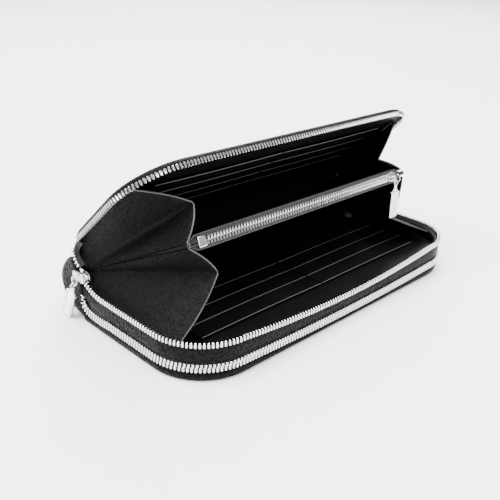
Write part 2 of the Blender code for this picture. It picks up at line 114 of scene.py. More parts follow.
class Look:
    """A material in the making, with short calls for its nodes and links."""

    def __init__(self, name, colour, roughness, metallic=0.0, gloss=0.5):
        self.material = bpy.data.materials.new(name)
        self.material.use_nodes = True
        self.nodes, self.links = self.material.node_tree.nodes, self.material.node_tree.links
        self.inputs = self.nodes["Principled BSDF"].inputs
        for key, value in (("Base Color", (*colour, 1.0)), ("Roughness", roughness), ("Metallic", metallic),
                           ("Specular IOR Level", gloss)):
            self.inputs[key].default_value = value
        self.place = self.nodes.new("ShaderNodeTexCoord").outputs["Object"]

    def texture(self, kind, scale, vector=None, **values):
        node = self.nodes.new(f"ShaderNodeTex{kind}")
        node.inputs["Scale"].default_value = scale
        for key, value in values.items():
            if key in ("feature", "wave_type", "bands_direction"):
                setattr(node, key, value)
            else:
                node.inputs[key].default_value = value
        self.links.new(vector or self.place, node.inputs["Vector"])
        return node.outputs

    def ramp(self, value, low, high, out_low, out_high):
        """Maps value from low..high to out_low..out_high."""
        node = self.nodes.new("ShaderNodeMapRange")
        self.links.new(value, node.inputs["Value"])
        for key, number in (("From Min", low), ("From Max", high), ("To Min", out_low), ("To Max", out_high)):
            node.inputs[key].default_value = number
        return node.outputs["Result"]

    def mix(self, factor, first, second):
        """Mixes two colours, each three numbers or the output of a node."""
        node = self.nodes.new("ShaderNodeMix")
        node.data_type = "RGBA"
        self.links.new(factor, node.inputs[0])
        for socket, colour in ((node.inputs[6], first), (node.inputs[7], second)):
            if isinstance(colour, tuple):
                socket.default_value = (*colour, 1.0)
            else:
                self.links.new(colour, socket)
        return node.outputs[2]

    def sum_up(self, operation, first, second):
        node = self.nodes.new("ShaderNodeMath")
        node.operation = operation
        self.links.new(first, node.inputs[0])
        self.links.new(second, node.inputs[1])
        return node.outputs[0]

    def drive(self, key, output):
        self.links.new(output, self.inputs[key])

    def bump(self, *heights):
        """Chains bumps, each a value, a strength and a depth in mm."""
        normal = None
        for value, strength, depth in heights:
            node = self.nodes.new("ShaderNodeBump")
            node.inputs["Strength"].default_value = strength
            node.inputs["Distance"].default_value = depth * MM
            self.links.new(value, node.inputs["Height"])
            if normal:
                self.links.new(normal, node.inputs["Normal"])
            normal = node.outputs["Normal"]
        self.drive("Normal", normal)


def scaled(colour, factor):
    return tuple(c * factor for c in colour)


def leather_material(name, pebble, depth, colour, rough_low, rough_high):
    """Pebbled full-grain leather; pebble is the size of a grain in mm."""
    look = Look(name, colour, rough_low, gloss=0.05)
    grain = pebble * MM
    warp = look.texture("Noise", 0.5 / grain, Detail=2.0)["Color"]
    warped = look.nodes.new("ShaderNodeVectorMath")
    warped.operation = "MULTIPLY_ADD"
    look.links.new(warp, warped.inputs[0])
    warped.inputs[1].default_value = (grain * 0.9,) * 3
    look.links.new(look.place, warped.inputs[2])
    cells = look.texture("Voronoi", 1.0 / grain, warped.outputs[0], feature="SMOOTH_F1",
                         Smoothness=0.35)["Distance"]
    fine = look.texture("Noise", 4.0 / grain, Detail=3.0)["Fac"]
    broad = look.texture("Noise", 45.0, Detail=3.0)["Fac"]
    dome = look.ramp(cells, 0.05, 0.75, 1.0, 0.0)
    valley = look.ramp(cells, 0.35, 0.75, 0.0, 1.0)
    patch = look.mix(broad, colour, scaled(colour, 1.5))
    look.drive("Base Color", look.mix(valley, patch, scaled(colour, 0.45)))
    look.drive("Roughness", look.ramp(valley, 0.0, 1.0, rough_low, rough_high))
    look.bump((dome, 0.8, depth), (fine, 0.25, depth * 0.35), (broad, 0.5, 0.6))
    return look.material


def lining_material(name, colour, rough_low, rough_high):
    """Smooth calf lining: a faint fine grain and soft patches of shine."""
    look = Look(name, colour, rough_low, gloss=0.06)
    fine = look.texture("Voronoi", 2600.0, feature="SMOOTH_F1", Smoothness=0.6)["Distance"]
    broad = look.texture("Noise", 60.0, Detail=4.0)["Fac"]
    look.drive("Base Color", look.mix(broad, scaled(colour, 0.7), scaled(colour, 1.5)))
    look.drive("Roughness", look.ramp(broad, 0.3, 0.7, rough_low, rough_high))
    look.bump((fine, 0.3, 0.04), (broad, 0.35, 0.35))
    return look.material


def edge_material(name, colour, rough):
    """Painted and burnished cut edge of the leather."""
    look = Look(name, colour, rough)
    lumps = look.texture("Noise", 700.0, Detail=3.0)["Fac"]
    look.drive("Base Color", look.mix(lumps, scaled(colour, 0.7), scaled(colour, 1.35)))
    look.drive("Roughness", look.ramp(lumps, 0.3, 0.7, rough - 0.08, rough + 0.12))
    look.bump((lumps, 0.4, 0.08))
    return look.material


def tape_material():
    """Woven zip tape: a fine two-way weave."""
    look = Look("woven_tape", (0.008, 0.008, 0.009), 0.75, gloss=0.1)
    x, y, z = (look.texture("Wave", 520.0, wave_type="BANDS", bands_direction=way, Distortion=0.6)["Fac"]
               for way in "XYZ")
    weave = look.sum_up("MAXIMUM", look.sum_up("MULTIPLY", x, y), z)
    look.drive("Base Color", look.mix(weave, (0.003, 0.003, 0.004), (0.012, 0.012, 0.013)))
    look.inputs["Sheen Weight"].default_value = 0.2
    look.bump((weave, 0.7, 0.12))
    return look.material


def metal_material():
    """Polished white metal with hairline wear."""
    look = Look("polished_metal", (0.66, 0.66, 0.66), 0.16, metallic=1.0)
    smudge = look.texture("Noise", 350.0, Detail=4.0)["Fac"]
    scratch = look.texture("Noise", 2600.0, Detail=2.0, Distortion=1.5)["Fac"]
    look.drive("Base Color", look.mix(smudge, (0.58, 0.58, 0.59), (0.76, 0.76, 0.755)))
    look.drive("Roughness", look.ramp(smudge, 0.3, 0.7, 0.10, 0.22))
    look.bump((scratch, 0.06, 0.05))
    return look.material


LEATHER = leather_material("pebbled_leather", 1.05, 0.30, (0.0030, 0.0030, 0.0035), 0.36, 0.64)
FOLDS = leather_material("gusset_leather", 0.95, 0.22, (0.0034, 0.0034, 0.0040), 0.40, 0.64)
LINING = lining_material("smooth_lining", (0.0024, 0.0024, 0.0030), 0.38, 0.50)
EDGE = edge_material("painted_edge", (0.040, 0.040, 0.044), 0.40)
# card slot edges: real edge paint, made lighter partly as a painted highlight where the thin edges catch the
# light
SLOT_EDGE_PAINT_AND_HIGHLIGHT = edge_material("lining_edge_paint_and_highlight", (0.042, 0.042, 0.046), 0.45)
TAPE = tape_material()
METAL = metal_material()


# ---------------------------------------------------------------- drawing helpers

def rounded_path(inset, back_y, steps=14, front_steps=24, side_steps=8):
    """The wallet's outline from the back left end round the front to the back right end."""
    radius = max(CORNER - inset, 1.0)
    left, right, front = -HALF + inset, HALF - inset, FRONT + inset
    side = [back_y + (front + radius - back_y) * i / side_steps for i in range(side_steps)]
    points = [(left, y) for y in side]
    for i in range(steps + 1):
        a = math.pi + i * math.pi / 2 / steps
        points.append((left + radius + radius * math.cos(a), front + radius + radius * math.sin(a)))
    for i in range(1, front_steps):
        points.append((left + radius + (right - left - 2 * radius) * i / front_steps, front))
    for i in range(steps + 1):
        a = -math.pi / 2 + i * math.pi / 2 / steps
        points.append((right - radius + radius * math.cos(a), front + radius + radius * math.sin(a)))
    points += [(right, y) for y in reversed(side)]
    return points


def sag(x, y, depth):
    """How far an edge hangs below its two ends, greatest in the middle of the front."""
    half = HALF - CORNER
    along = max(0.0, 1.0 - (x / half) ** 2)
    forward = max(0.0, min(1.0, (FRONT + CORNER - y) / CORNER))
    return -depth * along * forward


def section(y, z):
    return Vector((0.0, y, z))


def heading(line, i):
    """Direction of a line at its point i."""
    return (line[min(i + 1, len(line) - 1)] - line[max(i - 1, 0)]).normalized()


def even_shares(steps):
    return [i / steps for i in range(steps + 1)]


def turned(point, degrees):
    """A point of the closed wallet after its side of the hinge has opened by degrees."""
    return HINGE + Matrix.Rotation(math.radians(-degrees), 3, "X") @ (Vector(point) - HINGE)


def outline_out(centre, along=None):
    """Level direction out of the wallet at a place on its edge."""
    corner = Vector((max(-HALF + CORNER, min(HALF - CORNER, centre.x)), FRONT + CORNER, 0.0))
    if centre.y > corner.y:
        return Vector((math.copysign(1.0, centre.x), 0.0, 0.0))
    return Vector((centre.x - corner.x, centre.y - corner.y, 0.0)).normalized()


def smoothstep(t):
    t = max(0.0, min(1.0, t))
    return t * t * (3 - 2 * t)


PINCH_START, PINCH_RUN = 80.0, 17.5  # from the middle; the spine is pinched from here to its ends


def pinch_share(x):
    """How much the spine is pinched at x: nothing in the middle, fully at its two ends."""
    return smoothstep((abs(x) - PINCH_START) / PINCH_RUN)


def stack(bm, rings, edge_segments=(), cyclic=False):
    """Adds a solid through rings of points, with end caps or joined end to end.

    The segments of a ring listed in edge_segments get the second material.
    """
    loops = [[bm.verts.new(p) for p in ring] for ring in rings]
    count = len(rings[0])
    for a, b in zip(loops, loops[1:] + loops[:1] if cyclic else loops[1:]):
        for i in range(count):
            j = (i + 1) % count
            face = bm.faces.new((a[i], a[j], b[j], b[i]))
            face.material_index = 1 if i in edge_segments else 0
    if not cyclic:
        bm.faces.new(list(reversed(loops[0])))
        bm.faces.new(loops[-1])


def loft(rings, edge_segments=()):
    bm = bmesh.new()
    stack(bm, rings, edge_segments)
    return bm


def swing(bm, degrees):
    for vertex in bm.verts:
        vertex.co = turned(vertex.co, degrees)
    return bm


DRAWN = 4.0  # the lid is drawn down from this far in front of its row's end


def swing_lid(bm):
    """Opens a piece of the lid and draws its back corners down to the pinched ends of the spine."""
    main, ends = spine_sections()
    pull_in = ends[-1] - main[-1]
    for vertex in bm.verts:
        back = max(0.0, (vertex.co.y - LID_ROW_END + DRAWN) / (SPINE_START - LID_ROW_END + DRAWN))
        share = pinch_share(vertex.co.x) * min(1.0, back) ** 1.8
        vertex.co = turned(vertex.co, LID_OPEN) + pull_in * share
    return bm


def add_piece(name, bm, materials, body=None, replaces=(), angle=40.0):
    """Makes the object in metres, hides the CAD parts it replaces and, given a body, parents it to that
    body's empty.
    """
    bmesh.ops.scale(bm, vec=(MM, MM, MM), verts=bm.verts)
    bmesh.ops.recalc_face_normals(bm, faces=bm.faces)
    mesh = bpy.data.meshes.new(name)
    bm.to_mesh(mesh)
    bm.free()
    for material in materials:
        mesh.materials.append(material)
    mesh.shade_smooth()
    mesh.set_sharp_from_angle(angle=math.radians(angle))
    piece = bpy.data.objects.new(name, mesh)
    bpy.context.scene.collection.objects.link(piece)
    if replaces:
        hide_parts(*replaces)
    if body:
        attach(piece, body)
    return piece


def bend(piece):
    """Bakes a piece's transform into its mesh."""
    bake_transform(piece)


def smooth_curve(controls, steps):
    """Bezier curve through four control points."""
    a, b, c, d = (Vector(p) for p in controls)
    points = []
    for i in range(steps + 1):
        t = i / steps
        points.append(a * (1 - t) ** 3 + b * 3 * t * (1 - t) ** 2 + c * 3 * t * t * (1 - t) + d * t ** 3)
    return points


def band(profile, back_y, edge_segments=(), rise=None):
    """Sweeps a closed profile of (inset, height, sag) round the left, front and right edges."""
    columns = [rounded_path(inset, back_y) for inset, _, _ in profile]
    rings = []
    for station in range(len(columns[0])):
        ring = []
        for (_, z, depth), column in zip(profile, columns):
            x, y = column[station]
            ring.append((x, y, z + sag(x, y, depth) + (rise(x, y, z) if rise else 0.0)))
        rings.append(ring)
    return loft(rings, edge_segments=edge_segments)


BACK_STEPS = 40  # the trays' straight back edges bend with the spine


def tray(levels, back_y):
    """Outlines of (inset, height, sag) stacked from one face of a cover to the other."""
    rings = []
    for inset, z, depth in levels:
        outline = rounded_path(inset, back_y)
        (x0, y0), (x1, _) = outline[0], outline[-1]
        outline += [(x1 + (x0 - x1) * i / BACK_STEPS, y0) for i in range(1, BACK_STEPS)]
        rings.append([(x, y, z + sag(x, y, depth)) for x, y in outline])
    return loft(rings)


# ---------------------------------------------------------------- leather shell

def make_covers():
    """Padded covers: rolled rim, domed back, the leather turned in behind the tape."""
    droop = ZIP2_SAG
    lower = [(9.0, 0.0, 0), (2.4, 0.0, 0), (1.3, 0.12, 0), (0.55, 0.5, 0.1), (0.15, 1.2, 0.4),
             (0.02, 2.2, 0.8), (0.04, 3.1, 1.3), (0.2, 3.75, droop), (0.6, 4.12, droop), (1.1, 4.15, droop),
             (1.5, 3.85, droop), (1.6, 3.0, 1.0), (1.7, COVER, 0)]
    bm = tray(lower, SPINE_START)
    add_piece("bottom_cover_leather", bm, [LEATHER], "base", ["bottom_cover"])

    top = CLOSED_HEIGHT
    upper = [(27.0, top + 0.75, 0), (18.0, top + 0.65, 0), (11.0, top + 0.4, 0), (6.0, top, 0),
             (3.4, top - 0.5, 0), (1.8, top - 1.1, 0), (0.8, top - 1.8, 0), (0.25, top - 2.5, 0),
             (0.15, top - 3.0, 0), (0.4, top - 3.45, 0), (0.9, top - 3.55, 0), (1.4, top - 3.3, 0),
             (1.6, top - 2.8, 0), (1.7, top - COVER, 0)]
    bm = swing_lid(tray(upper, SPINE_START))
    add_piece("lid_cover_leather", bm, [LEATHER], "lid", ["lid_cover"])


def zip2_rise(x, y):
    """How far the middle band's lower edge rises at the left end, over the start of the lower zip."""
    return 3.6 * smoothstep((y - 19.0) / 10.0) if x < 0 else 0.0


def make_middle_band():
    """The strip of leather between the two zips, folded in over both tapes."""
    low, high = ZIP2_Z + ROW_GAP + ROW_HEIGHT + GAP, ZIP1_Z - ROW_GAP - ROW_HEIGHT - GAP
    low_sag, high_sag = ZIP2_SAG, ZIP1_SAG
    profile = [(1.5, low + 0.1, low_sag), (0.9, low, low_sag), (0.45, low + 0.12, low_sag),
               (0.2, low + 0.5, low_sag), (0.1, low + 1.6, low_sag + 0.5),
               (0.02, (low + high) / 2, (low_sag + high_sag) / 2), (0.1, high - 1.6, high_sag - 0.5),
               (0.2, high - 0.5, high_sag), (0.45, high - 0.12, high_sag), (0.9, high, high_sag),
               (1.5, high - 0.1, high_sag)]

    def rise(x, y, z):
        share = (high - z) / (high - low)
        return zip2_rise(x, y) * share + lift(y) * 0.55 * (1.0 - share)

    bm = band(profile, SPINE_START - 0.8, rise=rise)
    add_piece("middle_band_leather", bm, [LEATHER], "base", ["middle_band"])


SPINE_STEPS = 20
SPINE_STATIONS = 57
SPINE_REACH = 97.8  # half its length
SPINE_LEATHER = 1.6
WRINKLE = 0.25
SPINE_CORE = Vector((0.0, 38.0, 16.0))  # its ends shrink towards this
SPINE_EDGE_Z = CLOSED_HEIGHT - 0.3  # where the spine meets the lid, closed


def spine_sections():
    """Outer lines (y, z) of the spine: in the middle of the wallet and pinched at its ends."""
    lid_edge = turned((0.0, SPINE_START, SPINE_EDGE_Z), LID_OPEN)
    outward = turned((0.0, SPINE_START + 1.0, SPINE_EDGE_Z), LID_OPEN) - lid_edge
    start = section(SPINE_START, 0.0)
    reach = SPINE_BACK - SPINE_START
    main = [start, start + section(reach * 1.05, 0.0), lid_edge + outward * reach * 0.55, lid_edge]
    pinch = section(37.6, 31.8)
    ends = [start + section(0.0, 0.6), start + section(24.5, 1.5), pinch + section(22.0, -8.0), pinch]
    return main, ends


def make_spine():
    """One skin round the back; both ends are pinched towards the sliders and closed."""
    main, ends = spine_sections()
    steps = SPINE_STEPS
    rings, weights = [], []
    for k in range(SPINE_STATIONS):
        x = SPINE_REACH * math.sin(math.pi / 2 * (k / (SPINE_STATIONS // 2) - 1.0))
        controls = [a.lerp(b, pinch_share(x)) for a, b in zip(main, ends)]
        outer = smooth_curve(controls, steps)
        ring_out, ring_in = [], []
        for i, p in enumerate(outer):
            tangent = heading(outer, i)
            inward = section(-tangent.z, tangent.y)
            soft = WRINKLE * math.sin(x * 0.11 + i) * math.sin(i * math.pi / steps)
            ring_out.append(Vector((x, p.y, p.z)) - inward * soft)
            ring_in.append(Vector((x, p.y, p.z)) + inward * SPINE_LEATHER)
        rings.append(ring_out + list(reversed(ring_in)))
        share = even_shares(steps)
        weights += share + share[::-1]
    bend(add_piece("spine_leather", loft(rings), [LEATHER], replaces=["spine_cover"]))

    for side, name in ENDS:
        outline = smooth_curve(ends, steps)
        loop = outline + [outline[-1].lerp(section(32.5, 19.5), 0.6), section(29.6, 17.0), section(29.6, 8.0)]
        share = even_shares(steps) + [0.7, 0.35, 0.1]
        rings, weights = [], []
        for x, size in ((97.6, 0.97), (98.6, 0.94), (99.3, 0.87), (99.6, 0.74), (99.4, 0.45), (99.1, 0.15)):
            rings.append([RIGHT * side * x + SPINE_CORE.lerp(p, size) for p in loop])
            weights += share
        bend(add_piece(f"spine_end_{name}", loft(rings), [LEATHER]))


def make_end_linings():
    """Lining that closes the inside of the spine at both ends, behind the gussets."""
    _, ends = spine_sections()
    steps = 16
    curve = smooth_curve(ends, steps)
    front = [section(y, z) for y, z in ((33.6, 32.0), (30.5, 27.5), (27.0, 21.0), (27.0, 4.0))]
    for side, name in ENDS:
        rings = []
        for x, size in ((94.9, 0.90), (95.2, 0.93), (95.7, 0.93), (96.0, 0.90)):
            rings.append([RIGHT * side * x + p
                          for p in [SPINE_CORE.lerp(p, size) for p in curve] + front])
        bend(add_piece(f"spine_end_lining_{name}", loft(rings), [LINING]))


# ---------------------------------------------------------------- zips

TOOTH_CORNER = 0.26


def tooth_template():
    """One cast tooth as rings of (along, out, rise): legs on the tape, then a nosed head."""
    rings = []
    for rise, wide, deep in ((-1.3, 0.60, 0.75), (-1.15, 0.92, 1.0), (0.1, 1.0, 1.0), (0.45, 0.80, 0.92),
                             (1.0, 0.72, 0.86), (1.22, 0.52, 0.6)):
        s, o = TOOTH_WIDE / 2 * wide, TOOTH_DEEP / 2 * deep
        s_in, o_in = s - TOOTH_CORNER, o - TOOTH_CORNER
        ring = [(s_in, o), (s, o_in), (s, -o_in), (s_in, -o),
                (-s_in, -o), (-s, -o_in), (-s, o_in), (-s_in, o)]
        rings.append([(a, b, rise) for a, b in ring])
    return rings


def resample(points, pitch, phase=0.0):
    """Places at an even pitch along a polyline, each with its direction and its share of the length."""
    lengths = [(b - a).length for a, b in zip(points, points[1:])]
    total = sum(lengths)
    count = int((total - phase) / pitch)
    places, i, passed = [], 0, 0.0
    for k in range(count):
        wanted = phase + pitch * (k + 0.5)
        while i < len(lengths) - 1 and passed + lengths[i] < wanted:
            passed += lengths[i]
            i += 1
        a, b = points[i], points[i + 1]
        place = a.lerp(b, min(1.0, (wanted - passed) / lengths[i]))
        places.append((place, (b - a).normalized(), wanted / total))
    return places


def teeth(places, out_of, rise_sign):
    """Bmesh of teeth, and the share of its row for each vertex. out_of gives the way out at a place."""
    template = tooth_template()
    bm = bmesh.new()
    shares = []
    for centre, along, share in places:
        out = out_of(centre, along)
        rise = out.cross(along).normalized() * rise_sign
        out = along.cross(rise).normalized() * rise_sign
        stack(bm, [[centre + along * s + out * o + rise * h for s, o, h in ring] for ring in template])
        shares += [share] * sum(len(ring) for ring in template)
    return bm, shares


LIFT, LIFT_START, LIFT_RUN = 4.9, 14.0, 14.1  # height of the climb, where it starts, its length


def lift(y):
    """How far the upper zip's lower row climbs towards its slider near the back."""
    return LIFT * max(0.0, min(1.0, (y - LIFT_START) / LIFT_RUN)) ** 2.1


CURL_START = 12.0  # the left end of the closed zip curls up behind this


def zip2_line(offset, back_y):
    """Line parallel to the lower zip's meeting line; at its left end the chain curls up and in."""
    line = row_line(ZIP2_Z, ZIP2_SAG, back_y)
    line = [p for p in line if p.x > 0 or p.y < CURL_START]
    x = line[0].x
    curl = smooth_curve([(x, 29.0, 14.2), (x, 32.2, 8.2), (x, 25.5, 5.2), line[0]], 24)
    line = curl[:-1] + line
    shifted = []
    for i, p in enumerate(line):
        shifted.append(p + heading(line, i).cross(outline_out(p)).normalized() * -offset)
    return shifted


def row_line(z, depth, back_y, climb=None):
    """Middle line of a tooth row round the wallet; climb is an extra height by y."""
    points = []
    for x, y in rounded_path(ROW_MIDDLE, back_y, steps=20, front_steps=30, side_steps=16):
        points.append(Vector((x, y, z + sag(x, y, depth) + (climb(y) if climb else 0.0))))
    return points


def tape_band(name, leather_side, bead_side, depth, leather_depth, back_y, body, node, climb=None):
    """Woven tape from under the leather out to the middle of its tooth row, with a corded edge."""
    way = 1.0 if bead_side > leather_side else -1.0
    mid = (leather_side + bead_side) / 2
    bead = [(-0.15, 0.5), (-0.4, 0.2), (0.0, -0.25), (0.4, 0.2), (0.25, 0.6)]  # inset from the teeth, height
    profile = [(1.75, leather_side, leather_depth), (1.0, mid, depth)]
    profile += [(ROW_MIDDLE + inset, bead_side - way * height, depth) for inset, height in bead]
    profile += [(1.35, mid, depth), (2.15, leather_side, leather_depth)]
    bm = band(profile, back_y, rise=climb and (lambda x, y, z: climb(y)))
    if body == "lid":
        swing_lid(bm)
    return add_piece(name, bm, [TAPE], body, [node])


def make_lower_zip():
    """Closed: both rows meshed all the way round."""
    half = TOOTH_LONG / 2
    back = SPINE_START - 1.0
    for name, side, phase, body_z in (("bottom", -1, 0.0, 3.3), ("top", 1, PITCH / 2, 10.4)):
        z = ZIP2_Z + side * (half - MESHED)
        places = resample(zip2_line(side * (half - MESHED), back), PITCH, phase)
        bm, _ = teeth(places, outline_out, -side)
        add_piece(f"lower_zip_{name}_row", bm, [METAL], "base", [f"lower_zip_{name}_teeth"])
        tape_band(f"lower_zip_{name}_woven_tape", body_z, z, ZIP2_SAG, ZIP2_SAG if side > 0 else 1.2,
                  back, "base", f"lower_zip_{name}_tape")


def make_upper_zip():
    """Open: the lower row on the band, the lid's row swung up with the lid."""
    low_z = ZIP1_Z - ROW_GAP - ROW_HEIGHT / 2
    places = resample(row_line(low_z, ZIP1_SAG, ROW_BACK, lift), PITCH)
    bm, _ = teeth(places, outline_out, 1)
    add_piece("upper_zip_bottom_row", bm, [METAL], "base", ["upper_zip_bottom_teeth"])
    tape_band("upper_zip_bottom_woven_tape", 15.9, low_z - 0.3, ZIP1_SAG, ZIP1_SAG, ROW_BACK, "base",
              "upper_zip_bottom_tape", lift)

    high_z = ZIP1_Z + ROW_GAP + ROW_HEIGHT / 2
    places = resample(row_line(high_z, 0.0, LID_ROW_END), PITCH)
    bm, _ = teeth(places, outline_out, -1)
    add_piece("upper_zip_lid_row", swing(bm, LID_OPEN), [METAL], "lid", ["upper_zip_lid_teeth"])
    tape_band("upper_zip_lid_woven_tape", 23.4, high_z + 0.3, 0.0, 0.0, SPINE_START - 4.0, "lid",
              "upper_zip_lid_tape")


def turn_line(side):
    """The lid's row where it leaves the lid and curves down to the slider, from the lid to the slider."""
    start = turned((0.0, LID_ROW_END, ZIP1_Z + ROW_GAP + ROW_HEIGHT / 2), LID_OPEN)
    way = turned((0.0, LID_ROW_END + 1.0, ZIP1_Z + ROW_GAP + ROW_HEIGHT / 2), LID_OPEN) - start
    end = section(30.9, 28.4)
    controls = [start, start + way * 9.0, end + section(6.3, 4.6), end]
    return [p + RIGHT * side * (HALF - ROW_MIDDLE) for p in smooth_curve(controls, 30)]


# section of the tape beside the turned-down teeth: back from them, and out of the wallet
TURN_TAPE = [(-0.2, 0.3), (1.3, 0.2), (1.56, -0.5), (2.6, -1.0),
             (2.6, -1.5), (1.56, -1.0), (1.3, -0.3), (-0.2, -0.3)]


def make_turns():
    """Teeth and tape of the lid's row on their way down to the slider."""
    for side, name in ENDS:
        line = turn_line(side)
        places = resample(line, PITCH * 0.97)
        out = Vector((side, 0.0, 0.0))
        bm, shares = teeth(places, lambda centre, along: out, side)
        piece = add_piece(f"upper_zip_turn_{name}_row", bm, [METAL],
                          replaces=[f"upper_zip_turn_{name}"])
        bend(piece)

        rings, weights = [], []
        steps = len(line) - 1
        for i, p in enumerate(line):
            back_way = heading(line, i).cross(out).normalized() * side
            rings.append([p + back_way * back + out * way for back, way in TURN_TAPE])
            weights += [1.0 - i / steps] * len(TURN_TAPE)
        bend(add_piece(f"upper_zip_turn_{name}_tape", loft(rings), [TAPE]))


# ---------------------------------------------------------------- inside

CARD_SLOTS = 4
FIRST_SLOT_Y, SLOT_STEP = -34.0, 10.5
SHEETS_END = 20.0
SHEET, SHEET_RISE, SHEET_LAP = 0.4, 1.1, 4.0  # thickness, height of the free edge, lap under the next
COLUMN = 84.0
CORNER_CUT = 0.45  # how far a sheet gives way to the rounded corner, for each mm in front of it
FLOOR_Z = 10.3  # underside of the upper compartment's floor lining
CEILING_Z = CLOSED_HEIGHT - COVER - GAP


def lining_board(name, z, up, inset, body, node):
    """Lining sheet with a rolled lip; up is the way its visible face looks."""
    lip = [(-0.2, 0.0), (-0.9, 0.15), (-1.1, 0.45), (-0.8, 0.75), (-0.1, 0.8), (0.7, 0.55), (2.0, 0.5)]
    levels = [(inset + along, z + up * rise, 0) for along, rise in lip]
    bm = tray(levels + [(30.0, z + up * 0.5, 0)], TAPE_END)
    if body == "lid":
        swing_lid(bm)
    return add_piece(name, bm, [LINING], body, [node])


def make_linings():
    lining_board("floor_lining_sheet", FLOOR_Z, 1, INNER_INSET, "base", "floor_lining")
    lining_board("lid_lining_sheet", CEILING_Z, -1, INNER_INSET - 0.4, "lid", "lid_lining")
    lining_board("lower_floor_lining_sheet", COVER + GAP, 1, INNER_INSET, "base", "lower_floor_lining")
    wall = [(2.55, FLOOR_Z + 0.5, 0), (2.5, 13.0, ZIP1_SAG * 0.4), (2.45, 15.4, ZIP1_SAG),
            (2.6, 15.8, ZIP1_SAG), (2.85, 15.8, ZIP1_SAG), (3.0, 15.4, ZIP1_SAG), (3.0, 13.0, ZIP1_SAG * 0.4),
            (3.0, FLOOR_Z + 0.5, 0)]
    add_piece("inner_wall_lining", band(wall, TAPE_END), [LINING], "base")
    board = tray([(INNER_INSET, 8.6, 0), (INNER_INSET - 0.3, 9.0, 0), (INNER_INSET - 0.3, 9.6, 0),
                  (INNER_INSET, 10.0, 0)], TAPE_END)
    add_piece("divider_board", board, [LINING], "base", ["divider_panel"])


def card_sheet(name, column, tier, base_z, up, body, node):
    """A card pocket's sheet: it bows a little between its sides and ends in a painted edge, coloured lighter
    partly as a painted highlight where the thin edge catches the light.
    """
    random.seed(f"{name} {tier}")
    x0, x1 = (-0.5 - COLUMN, -0.5) if column == "left" else (0.5, 0.5 + COLUMN)
    slot_y = FIRST_SLOT_Y + tier * SLOT_STEP
    tuck_y = slot_y + SLOT_STEP + SHEET_LAP if tier < CARD_SLOTS - 1 else SHEETS_END
    corner_in = max(0.0, FRONT + CORNER - slot_y) * CORNER_CUT
    if column == "left":
        x0 += corner_in
    else:
        x1 -= corner_in
    droop = random.uniform(0.1, 0.35)
    steps_x, steps_y = 24, 10
    rings = []
    for i in range(steps_x + 1):
        u = i / steps_x
        x = x0 + (x1 - x0) * u
        belly = math.sin(math.pi * u)
        top, under = [], []
        for j in range(steps_y + 1):
            v = j / steps_y
            y = slot_y + 0.25 + (tuck_y - slot_y) * v + (droop * belly if v < 0.5 else 0.0)
            rise = SHEET_RISE * (1.0 - v) ** 1.6 * (0.85 + 0.15 * belly)
            z = base_z + up * rise
            top.append((x, y, z + up * SHEET))
            under.append((x, y, z))
        nose = [(x, top[0][1] - 0.18, top[0][2] - up * 0.03), (x, top[0][1] - 0.28, top[0][2] - up * 0.2),
                (x, top[0][1] - 0.18, top[0][2] - up * 0.37)]
        rings.append(nose[::-1] + top + under[::-1])
    # the nose faces take the slot edge colour: edge paint, and partly a painted highlight
    bm = loft(rings, edge_segments=(0, 1, 2))
    if body == "lid":
        swing(bm, LID_OPEN)
    return add_piece(name, bm, [LINING, SLOT_EDGE_PAINT_AND_HIGHLIGHT], body, [node], angle=60.0)


def make_card_pockets():
    for column in ("left", "right"):
        for tier in range(CARD_SLOTS):
            number = tier + 1
            card_sheet(f"floor_card_sheet_{column}_{number}", column, tier, FLOOR_Z + 0.8, 1, "base",
                       f"floor_card_pocket_{column}_{number}")
            card_sheet(f"lid_card_sheet_{column}_{number}", column, tier, CEILING_Z - 0.8, -1, "lid",
                       f"lid_card_pocket_{column}_{number}")


# ---------------------------------------------------------------- coin pocket

POCKET_HALF = 79.0
MOUTH_Y, ROOT_Y = -33.0, 24.0
LOW_ROOT, LOW_MOUTH = 15.4, 13.2
HIGH_ROOT, HIGH_MOUTH = 18.4, 20.9
WALL = 0.8
COIN_ROW_HALF = 70.0
COIN_SLIDER_X = 64.0
COIN_ROW_Y = MOUTH_Y - GAP - 3.4 + ROW_MIDDLE
MOUTH_Z = (LOW_MOUTH + HIGH_MOUTH) / 2


def mouth_pinch(x, z):
    """The pocket's mouth narrows to its two ends."""
    share = smoothstep((abs(x) - 73.0) / 6.0)
    return MOUTH_Z + (z - MOUTH_Z) * (1.0 - 0.72 * share)


def pocket_piece(name, bm, materials, node, angle=40.0):
    """A piece drawn in the closed wallet and swung open with the pocket."""
    add_piece(name, swing(bm, POCKET_OPEN), materials, "coin_pocket", [node], angle)


def pocket_wall(name, node, root_z, mouth_z, way):
    """One wall of the coin pocket; way is 1 for the upper wall, whose outer face looks up."""
    steps = 44
    rings = []
    for i in range(steps + 1):
        u = math.sin(math.pi / 2 * (2.0 * i / steps - 1.0))
        x = POCKET_HALF * u
        swell = 0.35 * (1.0 - u * u)
        outer, inner = [], []
        for j in range(9):
            v = j / 8
            y = ROOT_Y + (MOUTH_Y - ROOT_Y) * v
            z = root_z + (mouth_pinch(x, mouth_z) - root_z) * v + way * swell * math.sin(math.pi * v)
            outer.append((x, y, z))
            inner.append((x, y, z - way * WALL))
        y, z = outer[-1][1], outer[-1][2]
        lip = [(x, y - 0.7, z - way * 0.02), (x, y - 1.15, z - way * 0.3), (x, y - 1.2, z - way * 0.75),
               (x, y - 0.8, z - way * 1.15), (x, y - 0.2, z - way * 1.2)]
        rings.append(outer + lip + inner[::-1])
    pocket_piece(name, loft(rings, edge_segments=(10, 11)), [LINING, EDGE], node, angle=60.0)


